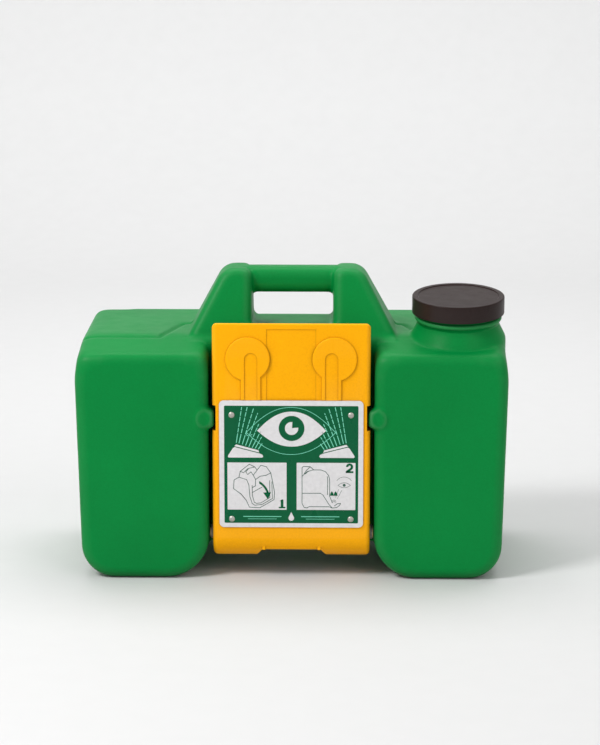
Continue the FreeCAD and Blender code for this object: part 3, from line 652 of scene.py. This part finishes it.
def rounded(x0, x1, z0, z1, radius, steps=6):
    """A rectangle with rounded corners."""
    points = []
    for cx, cz, start in ((x1 - radius, z1 - radius, 0), (x0 + radius, z1 - radius, 90),
                          (x0 + radius, z0 + radius, 180), (x1 - radius, z0 + radius, 270)):
        points += arc(cx, cz, radius, start, start + 90, steps)
    return points


def almond(cx, cz, half_width, rise, fall, steps=28):
    """An eye's outline: two shallow arcs that meet in points at cz."""
    upper, lower = [], []
    for i in range(steps + 1):
        t = -1 + 2 * i / steps
        swell = (1 - abs(t) ** ALMOND_POWERS[0]) ** ALMOND_POWERS[1]
        upper.append((cx + half_width * t, cz + rise * swell))
        lower.append((cx + half_width * t, cz - fall * swell))
    return lower + upper[-2:0:-1]


FIELD, FIELD_CORNER = (-86.6, 86.6, 5.7, 161.3), 1.5
EYE, EYE_SIZE = (0.5, 128.5), (44.5, 25.2, 20.9)      # half width, rise and fall
IRIS, IRIS_RADIUS, PUPIL_RADIUS = (0.5, 131.6), 16.6, 8.6
PANELS = ((-82.5, -6.0), (7.0, 83.0))                 # left and right sides
PANEL_HEIGHTS, PANEL_CORNER = (23.5, 86.2), 0.6
SPRAY_HEAD = ((80.5, 92.8), (37.5, 92.8), (36.2, 94.4), (37.2, 96.6), (40.5, 98.2),
              (73.0, 106.6), (75.2, 105.4), (81.6, 95.4), (81.8, 93.6))
SPRAY_LIP = ((41.4, 99.6), (42.4, 102.6), (71.0, 110.2), (73.4, 107.9))
DROP, DROP_RADIUS, DROP_RISE = (0.0, 12.4), 3.6, 8.2


def green_field():
    """The sign's green ground."""
    bm = bmesh.new()
    add_shape(bm, rounded(*FIELD, FIELD_CORNER), GROUND)
    return mesh_object("label_green_field", bm, ink_green)


def white_art():
    """The eye and its pupil, the two spray heads, the two panels and a water drop."""
    bm = bmesh.new()
    add_shape(bm, almond(*EYE, *EYE_SIZE), SHAPES)
    for side in (-1, 1):
        for outline in (SPRAY_HEAD, SPRAY_LIP):
            add_shape(bm, [(side * x, z) for x, z in outline], SHAPES)
    for sides in PANELS:
        add_shape(bm, rounded(*sides, *PANEL_HEIGHTS, PANEL_CORNER, steps=2), SHAPES)
    # the pupil is white, with a green wedge left out of it
    pupil = arc(*IRIS, PUPIL_RADIUS, 83, 368, steps=30) + [(IRIS[0] + 0.6, IRIS[1] + 0.4)]
    add_shape(bm, pupil, MARKS)
    drop = [(DROP[0], DROP[1] + DROP_RISE)] + arc(*DROP, DROP_RADIUS, 25, -205, steps=26)
    add_shape(bm, drop, SHAPES)
    return mesh_object("label_white_art", bm, label_film)


def iris():
    """The eye's green iris."""
    bm = bmesh.new()
    add_shape(bm, arc(*IRIS, IRIS_RADIUS, 0, 354, steps=58), LINES)
    return mesh_object("label_iris", bm, ink_green)


# the jets of the right-hand spray head: x and z of each foot, then of its tip
RAYS = ((70.9, 112.6, 63.8, 159.3), (67.3, 111.9, 56.7, 159.3), (63.1, 110.5, 48.2, 158.6),
        (58.8, 109.0, 43.2, 151.4), (54.6, 107.6, 41.8, 137.1), (50.3, 106.2, 39.7, 127.0),
        (46.5, 105.1, 38.3, 119.8), (42.5, 104.0, 37.6, 111.2))
FIRST_DASH, DASH, DASH_GAP, LEAST_DASH = 12.0, 5.4, 2.0, 0.5
RAY_WIDTH = 0.95
OUTER_EYE, OUTER_EYE_SIZE = (EYE[0] - 0.8, EYE[1] - 2.4), (57.6, 33.2, 29.0)
OUTER_WIDTH = 0.7
TEAR_DUCT = ((-58.4, 126.1), (-57.6, 122.6), (-55.0, 121.3), (-50.4, 123.4))
RULES = ((13.0, 62.0, 14.4, 0.9), (19.0, 56.0, 11.2, 0.5))    # near x, far x, z and width


def add_ray(bm, foot, tip):
    """One jet of water: a long stroke and then dashes."""
    length = math.hypot(tip[0] - foot[0], tip[1] - foot[1])
    step = ((tip[0] - foot[0]) / length, (tip[1] - foot[1]) / length)
    start, end = 0.0, min(FIRST_DASH, length)
    while start < length - LEAST_DASH:
        ends = [(foot[0] + step[0] * a, foot[1] + step[1] * a) for a in (start, end)]
        add_stroke(bm, ends, RAY_WIDTH, SHAPES)
        start = end + DASH_GAP
        end = min(start + DASH, length)


def pale_lines():
    """The eye's outer line, the water, and rules at the foot of the sign."""
    bm = bmesh.new()
    outline = almond(*OUTER_EYE, *OUTER_EYE_SIZE, steps=40)
    add_stroke(bm, outline + outline[:1], OUTER_WIDTH, LINES)
    add_stroke(bm, TEAR_DUCT, OUTER_WIDTH, LINES)
    for side in (-1, 1):
        for x0, z0, x1, z1 in RAYS:
            add_ray(bm, (side * x0, z0), (side * x1, z1))
        for near, far, z, width in RULES:
            add_stroke(bm, [(side * near, z), (side * far, z)], width, SHAPES)
    return mesh_object("label_pale_lines", bm, ink_pale)


# the drawing of the unit with its arm coming down, and the one of its side with the arm down
STEP_ONE = (
    ((-74.0, 63.0), (-74.7, 51.4), (-64.8, 44.2), (-58.4, 36.2), (-54.2, 26.8), (-40.7, 26.1),
     (-22.3, 37.0), (-21.6, 46.4), (-24.1, 61.1)),
    ((-54.9, 56.5), (-53.5, 40.6), (-50.6, 31.9), (-47.1, 29.4), (-37.9, 30.5), (-24.5, 38.4),
     (-25.1, 60.9)),
    ((-50.6, 55.8), (-50.3, 42.0), (-47.8, 33.3), (-44.9, 31.9), (-39.3, 32.6), (-27.7, 39.9),
     (-27.9, 62.3)),
    ((-74.0, 63.0), (-67.6, 66.7), (-65.9, 74.6), (-54.2, 84.0), (-47.1, 80.4), (-44.2, 76.1),
     (-39.3, 82.6), (-32.2, 80.8), (-26.5, 72.7), (-24.1, 61.1)),
    ((-67.6, 66.7), (-57.7, 63.5), (-54.9, 56.5)),
    ((-65.9, 74.6), (-61.7, 72.7), (-56.0, 78.2), (-47.1, 80.4)),
    ((-44.2, 76.1), (-49.2, 69.5), (-46.1, 63.8), (-46.4, 55.1), (-50.6, 52.9)),
    ((-65.5, 44.9), (-62.0, 40.6), (-58.4, 36.2)),
    ((-55.6, 77.5), (-58.8, 73.9), (-56.3, 70.3), (-52.0, 73.9), (-49.2, 69.5)),
    ((-46.1, 63.8), (-40.0, 68.1), (-32.2, 69.5), (-26.5, 72.7)),
    ((-50.3, 46.4), (-37.9, 53.6)),
)
STEP_TWO = (
    ((14.0, 79.7), (14.0, 31.9), (16.8, 26.8), (20.3, 26.1), (23.1, 27.8), (49.0, 27.8),
     (53.2, 26.1), (58.8, 26.7), (63.0, 30.2), (63.8, 32.5), (59.8, 31.9), (56.0, 29.0)),
    ((14.0, 68.1), (20.3, 74.3), (28.0, 76.8), (38.5, 76.8), (44.1, 74.6), (48.3, 69.5),
     (49.7, 63.8), (49.7, 42.0), (53.2, 33.3)),
    ((46.6, 68.1), (47.2, 62.3), (46.9, 43.8)),
    ((14.0, 79.7), (15.8, 81.4), (24.5, 81.1), (28.7, 77.1)),
    ((16.8, 71.7), (19.6, 76.1), (24.5, 80.8)),
    ((18.2, 71.3), (22.4, 75.3)),
    ((14.7, 45.7), (37.8, 45.7), (41.3, 43.2), (48.6, 31.2), (53.2, 26.1)),
)
DRAWN_WIDTH, FINE_WIDTH = 0.8, 0.45
PIVOT, PIVOT_RINGS = (55.2, 34.4), (1.2, 2.6)
RINSED_EYE, RINSED_SIZE, RINSED_PUPIL = (68.5, 56.5), (8.0, 3.4, 3.2), 1.9
RINSED_WIDTH = 0.5
BROW, BROW_RADIUS = (68.5, 56.0), 11.5
JETS, JET_WIDTH = (((57.4, 40.2), (61.4, 51.2)), ((59.6, 38.6), (65.6, 50.0))), 0.4


def grey_lines():
    """The line drawings in the two panels: pull the arm down, then rinse the eyes."""
    bm = bmesh.new()
    for line in STEP_ONE + STEP_TWO:
        add_stroke(bm, line, DRAWN_WIDTH, LINES)
    for radius in PIVOT_RINGS:
        add_stroke(bm, arc(*PIVOT, radius, -30, 210, steps=10), FINE_WIDTH, LINES)
    rinsed = almond(*RINSED_EYE, *RINSED_SIZE, steps=12)
    add_stroke(bm, rinsed + rinsed[:1], RINSED_WIDTH, LINES)
    add_stroke(bm, arc(*BROW, BROW_RADIUS, 35, 145, steps=12), FINE_WIDTH, LINES)
    for jet in JETS:
        add_stroke(bm, jet, JET_WIDTH, LINES)
    add_shape(bm, arc(*RINSED_EYE, RINSED_PUPIL, 0, 340, steps=17), LINES)
    return mesh_object("label_grey_lines", bm, ink_grey)


SWEEP, SWEEP_OUTER, SWEEP_INNER = (-53.5, 39.0), 25.6, 22.8
ARROW_HEAD = ((-26.2, 46.8), (-36.4, 46.4), (-30.2, 37.2))
SMALL_HEAD = ((-2.6, 42.6), (2.6, 42.6), (1.6, 46.4), (0.0, 48.6), (-1.6, 46.4))
SMALL_HEADS = (52.6, 57.4)                            # their middles
ONE_STEM = ((-13.6, 27.0), (-10.2, 27.0), (-10.2, 36.4), (-13.6, 36.4))
ONE_FLAG = ((-15.0, 34.8), (-10.3, 36.5), (-10.3, 37.3), (-12.2, 37.3))
ONE_FOOT = (-16.2, -7.6, 25.6, 27.4)
TWO_BOWL, TWO_OUTER, TWO_INNER = (75.4, 81.0), 4.6, 1.8
TWO_NECK = ((79.3, 78.6), (76.9, 80.05), (71.0, 75.6), (71.0, 73.4), (74.2, 73.4))
TWO_FOOT = (70.4, 80.4, 72.9, 75.3)
FOOT_CORNER = 0.4


def dark_art():
    """The arrow, two small spray heads, and the two step numbers."""
    bm = bmesh.new()
    sweep = arc(*SWEEP, SWEEP_OUTER, 62, 17, steps=12)
    sweep += arc(*SWEEP, SWEEP_INNER, 17, 58, steps=12)
    add_shape(bm, sweep, MARKS)
    add_shape(bm, ARROW_HEAD, MARKS)
    for middle in SMALL_HEADS:
        add_shape(bm, [(middle + x, z) for x, z in SMALL_HEAD], MARKS)
    add_shape(bm, ONE_STEM, MARKS)
    add_shape(bm, ONE_FLAG, MARKS)
    add_shape(bm, rounded(*ONE_FOOT, FOOT_CORNER, steps=2), MARKS)
    bowl = arc(*TWO_BOWL, TWO_OUTER, 180, -32, steps=16)
    bowl += arc(*TWO_BOWL, TWO_INNER, -32, 180, steps=16)
    add_shape(bm, bowl, MARKS)
    add_shape(bm, TWO_NECK, MARKS)
    add_shape(bm, rounded(*TWO_FOOT, FOOT_CORNER, steps=2), MARKS)
    return mesh_object("label_dark_art", bm, ink_green)


def label():
    """Print the sign's layers, which ride on the arm with the plate."""
    for piece in (green_field(), white_art(), iris(), pale_lines(), grey_lines(), dark_art()):
        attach(piece, ARM)


# ---- stage --------------------------------------------------------------------------------

PAPER_NEAR, PAPER_FAR = (0.64,) * 3, (0.95,) * 3
PAPER_DRIFT = (0.3, 3.0)      # the y between which the paper turns from near to far
FLOOR_FRONT, BEND_START, WALL_TOP = -4.0, 2.2, 4.0
BEND_RADIUS, BEND_STEPS = 1.2, 24
BACKDROP_HALF = 5.0           # half its width


def paper(name, near, far):
    """Backdrop paper, with painted light and shade: greyer on the floor and whiter up the wall.
    """
    made = Nodes(name)
    place = made.add("ShaderNodeSeparateXYZ")
    made.join(made.coords, place.inputs[0])
    reach = made.add("ShaderNodeMapRange")
    reach.inputs["From Min"].default_value = PAPER_DRIFT[0]
    reach.inputs["From Max"].default_value = PAPER_DRIFT[1]
    made.join(place.outputs["Y"], reach.inputs["Value"])
    fibres = made.tints(made.noise(scale=30.0), (1.0,) * 3, (0.3, 0.985), (0.7, 1.0))
    # painted light and shade: the paper's tone runs from grey near the object to white up the
    # wall
    made.colour(made.mix(1.0, made.ramp(reach.outputs["Result"], [(0.0, near), (1.0, far)]),
                         fibres, blend="MULTIPLY"))
    made.roughness(made.scaled(made.noise(scale=30.0), 0.75, 0.9))
    return made.material


def backdrop():
    """A pale floor that curves up into a wall behind the object."""
    bm = bmesh.new()
    line = [(FLOOR_FRONT, 0.0)]
    for i in range(BEND_STEPS + 1):
        angle = math.pi / 2 * i / BEND_STEPS
        line.append((BEND_START + BEND_RADIUS * math.sin(angle),
                     BEND_RADIUS - BEND_RADIUS * math.cos(angle)))
    line.append((BEND_START + BEND_RADIUS, WALL_TOP))
    rows = [[bm.verts.new((x, y, z)) for y, z in line]
            for x in (-BACKDROP_HALF, BACKDROP_HALF)]
    for i in range(len(line) - 1):
        bm.faces.new((rows[0][i], rows[0][i + 1], rows[1][i + 1], rows[1][i]))
    bmesh.ops.recalc_face_normals(bm, faces=bm.faces)
    floor = mesh_object("backdrop", bm, paper("backdrop_paper", PAPER_NEAR, PAPER_FAR))
    shade_smooth(floor)


LIGHT_AIM = (0, 0, 0.2)
SKY_STRENGTH = 0.5


def soft_light(name, place, size, power):
    """A rectangular soft box, turned to the object; size in metres, power in watts."""
    light = bpy.data.lights.new(name, "AREA")
    light.shape = "RECTANGLE"
    light.size, light.size_y = size
    light.energy = power
    obj = bpy.data.objects.new(name, light)
    obj.location = place
    obj.rotation_euler = (Vector(LIGHT_AIM) - Vector(place)).to_track_quat("-Z", "Y").to_euler()
    bpy.context.scene.collection.objects.link(obj)


def studio():
    """An even white surround and three soft boxes."""
    world = bpy.data.worlds.new("studio")
    world.use_nodes = True
    sky = world.node_tree.nodes["Background"]
    sky.inputs["Color"].default_value = (1, 1, 1, 1)
    sky.inputs["Strength"].default_value = SKY_STRENGTH
    bpy.context.scene.world = world
    soft_light("key", place=(-1.7, -1.5, 2.3), size=(0.9, 0.9), power=60)
    soft_light("fill", place=(1.8, -2.2, 1.6), size=(1.8, 1.8), power=14)
    soft_light("top", place=(0.1, 0.7, 2.6), size=(2.4, 1.6), power=40)
    bpy.context.scene.view_settings.view_transform = "Standard"


CAMERA_AZIMUTH = math.radians(-1.1)
CAMERA_HEIGHT = math.radians(11.5)
CAMERA_DISTANCE = 3.6
CAMERA_AIM = Vector((0.0088, 0.0, 0.2482))
CAMERA_LENS, CAMERA_SENSOR = 130.5, 36.0      # in mm


def camera():
    """A camera in front of the object and a little above it, as in the photo."""
    data = bpy.data.cameras.new("camera")
    data.lens = CAMERA_LENS
    data.sensor_width = CAMERA_SENSOR
    obj = bpy.data.objects.new("camera", data)
    ahead = Vector((math.sin(CAMERA_AZIMUTH) * math.cos(CAMERA_HEIGHT),
                    math.cos(CAMERA_AZIMUTH) * math.cos(CAMERA_HEIGHT),
                    -math.sin(CAMERA_HEIGHT)))
    obj.location = CAMERA_AIM - ahead * CAMERA_DISTANCE
    obj.rotation_euler = ahead.to_track_quat("-Z", "Y").to_euler()
    bpy.context.scene.collection.objects.link(obj)
    bpy.context.scene.camera = obj


camera()
studio()
backdrop()
dress_nodes()

skin = tank_skin()
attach(skin, TANK)
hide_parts("tank_shell")
collar = neck_collar()
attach(collar, TANK)
label()
